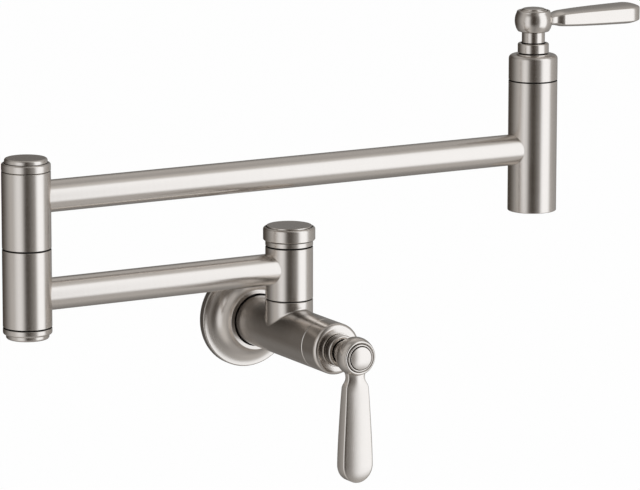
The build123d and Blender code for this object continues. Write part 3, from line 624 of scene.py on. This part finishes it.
dress(["wall_flange"], brushed_nickel(
    "nickel_flange", WALL_AXIS, INLET, FLANGE_ROUGHNESS, shade=edge_shade))
dress(["valve_body"], brushed_nickel(
    "nickel_body", WALL_AXIS, INLET, BODY_ROUGHNESS, (*INLET_CREASES, LIP_CREASE),
    shade=body_shade))
dress(["inlet_collar_nut"], brushed_nickel(
    "nickel_inlet_collar", WALL_AXIS, INLET, HEAD_ROUGHNESS, head_creases(INLET_SEAM),
    shade=collar_shade))
print("shaded nickel too, in all", len(dressed), "nodes")

# %% [markdown]
# The levers' broad faces are flatter in the photograph than the solid's, and roll over late, at
# the rim. That is a relief of about a millimetre, far wider than the grain and too shallow to
# change the outline much, so it is a bump under the grain's bump. It is worked out from three
# directions: reach along the lever, side across its face, and depth through it.

# %% Levers
LEVER_ROUGHNESS = 0.2
# The face's outline, in metres from the ball's middle: its half width at the shoulder, how fast
# that grows with reach, the most that it is, and the place and length of the round end.
LEVER_SHOULDER, LEVER_SHOULDER_HALF, LEVER_SPREAD = 0.0205, 0.00835, 0.0535
LEVER_HALF, LEVER_END, LEVER_TIP = 0.01075, 0.070, 0.0113
FACE_START = (0.014, 0.024)
FACE_EASE, FACE_LEAN = 0.0007, 0.065
FACE_POWER, FACE_FALL = 2.5, 0.4
RIM_START, RIM_DROP = 0.85, 0.0087
SIDE_CROWN, SIDE_DRAFT = 12.0, 0.2


def lever_relief(ball, reach, across, through):
    """Height that makes the lever's face flatter than its solid, up to a rounded edge."""
    def height(tree, point):
        offset = tree.vector("SUBTRACT", point, ball)
        out, side, depth = (tree.along(offset, axis) for axis in (reach, across, through))
        half = ((out - LEVER_SHOULDER) * LEVER_SPREAD + LEVER_SHOULDER_HALF).least(LEVER_HALF)
        width = side / half
        tip = (out - LEVER_END).most(0.0) / LEVER_TIP
        edge = width * width + tip * tip
        face = (edge - edge.maths("POWER", edge, FACE_POWER) * FACE_FALL) * out.ease(*FACE_START)
        rim = (edge.maths("SQRT", edge) - RIM_START).most(0.0)
        face = face * FACE_EASE + side * FACE_LEAN - rim * rim * RIM_DROP
        return face - depth * depth * SIDE_CROWN - depth * SIDE_DRAFT
    return height


dress(["outlet_lever"], brushed_nickel(
    "nickel_outlet_lever", X_AXIS, OUTLET, LEVER_ROUGHNESS,
    relief=lever_relief(OUTLET_BALL, X_AXIS, -WALL_AXIS, Z_AXIS)))
dress(["inlet_lever"], brushed_nickel(
    "nickel_inlet_lever", Z_AXIS, INLET, LEVER_ROUGHNESS,
    relief=lever_relief(INLET_BALL, -Z_AXIS, X_AXIS, WALL_AXIS)))
print("nickel on", len(dressed), "nodes")

# %% [markdown]
# The hidden pieces have plain engineering finishes: turned brass, stainless steel, sintered
# ceramic, moulded acetal and black rubber. Each gets the small variation the real one has, and
# the record's own material slot says which node gets which.

# %% Working finishes
MARKS_PER_METRE, STAINS_PER_METRE = 900.0, 60.0
STAINED = 0.82  # how much of its brightness a metal keeps where it is darkest
SHALLOW, FINEST = 0.00001, 0.000002


def turned_metal(name, colour, roughness):
    material, tree, shader = new_material(name)
    point = tree.place()
    marks = tree.noise(point, MARKS_PER_METRE, 4.0)
    stains = tree.noise(point, STAINS_PER_METRE, 3.0)
    deep = tuple(STAINED * part for part in colour)
    surface(tree, shader, tree.blend(stains, rgb(*deep), rgb(*colour)),
            roughness + (marks - 0.5) * 0.12, tree.bump(marks, SHALLOW))
    shader.inputs["Metallic"].default_value = 1.0
    return material


def moulded(name, colour, roughness, deep, grains_per_metre, depth):
    material, tree, shader = new_material(name)
    grain = tree.noise(tree.place(), grains_per_metre, 4.0)
    dark = tuple(deep * part for part in colour)
    surface(tree, shader, tree.blend(grain, rgb(*dark), rgb(*colour)),
            roughness + (grain - 0.5) * 0.15, tree.bump(grain, depth))
    return material


WORKING = {
    "plain_brass": turned_metal("turned_brass", (0.82, 0.62, 0.34), 0.3),
    "stainless_steel": turned_metal("drawn_stainless", (0.66, 0.65, 0.63), 0.28),
    "white_ceramic": moulded("lapped_ceramic", (0.88, 0.87, 0.84), 0.18, 0.96, 1500.0, FINEST),
    "white_acetal": moulded("moulded_acetal", (0.84, 0.84, 0.82), 0.42, 0.95, 600.0, SHALLOW),
    "black_rubber": moulded(
        "black_rubber_skin", (0.022, 0.022, 0.024), 0.55, 0.7, 2500.0, SHALLOW),
}
print("working finishes", list(WORKING))

# %% [markdown]
# Each swivel turns on two white acetal washers, and a thread of their edge shows in the seam.
# That edge lies in the seam's shade, so a painted shade darkens the washers' rim to a dark line.

# %% Washers with painted shade, and the rest
# Where the painted shade on the washers' rim starts and where it is full, in metres, and its
# colour.
SEAM_SHADE_START, SEAM_SHADE_FULL = 0.0130, 0.0134
SEAM_SHADE_COLOUR = rgb(0.02, 0.018, 0.016)


def acetal_with_seam_shade(name, centre):
    material, tree, shader = new_material(name)
    radius, _, point = axis_coordinates(tree, Z_AXIS, centre)
    smear = tree.noise(point, 700.0, 3.0)
    # Painted shade: the washers' rim, down in the seam, is darkened in colour.
    seam_shade = radius.ease(SEAM_SHADE_START, SEAM_SHADE_FULL)
    plain = tree.blend(smear, rgb(0.80, 0.80, 0.78), rgb(0.84, 0.84, 0.82))
    surface(tree, shader, tree.blend(seam_shade, plain, SEAM_SHADE_COLOUR),
            0.42 + seam_shade * 0.2 + (smear - 0.5) * 0.1, tree.bump(smear, SHALLOW))
    return material


dress(["riser_glide_washers"], acetal_with_seam_shade("shaded_riser_acetal", RISER))
dress(["elbow_glide_washers"], acetal_with_seam_shade("shaded_elbow_acetal", ELBOW))
for name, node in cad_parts.items():
    if name not in dressed:
        finish = node.material_slots[0].material.name
        dress([name], WORKING[finish.split(".")[0]])
print("dressed", len(dressed), "of", len(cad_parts), "nodes")

# %% [markdown]
# The inlet at the back is a female pipe thread. Its crest is one low ridge that winds round the
# bore: a small triangle, spun about the body's axis while it moves along it, with its two ends
# closed. A bump would also show rings, but not the ridge's start at the mouth.

# %% Inlet thread
THREAD_PITCH = 0.001814
THREAD_STEPS = 48
THREAD_TURNS = 8
# The triangle, as (distance from the axis, distance from the wall), in metres.
THREAD_PROFILE = ((0.00935, 0.00060), (0.00935, 0.00210), (0.00893, 0.00135))


def cut_thread():
    bm = bmesh.new()
    corners = [bm.verts.new((0.0, -out, radius)) for radius, out in THREAD_PROFILE]
    sides = [bm.edges.new((corners[i - 1], corners[i])) for i in range(len(corners))]
    advance = WALL_AXIS * THREAD_PITCH / THREAD_STEPS
    bmesh.ops.spin(
        bm, geom=corners + sides, cent=INLET, axis=WALL_AXIS, dvec=advance,
        angle=2 * pi * THREAD_TURNS, steps=THREAD_STEPS * THREAD_TURNS, use_duplicate=False,
    )
    bmesh.ops.holes_fill(bm, edges=bm.edges, sides=len(corners))
    bmesh.ops.recalc_face_normals(bm, faces=bm.faces)
    thread = mesh_object("inlet_thread_crest", bm, smooth=False)
    thread.data.materials.append(WORKING["plain_brass"])
    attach(thread, "wall_valve")
    return thread


thread = cut_thread()
print("thread", len(thread.data.polygons), "faces")
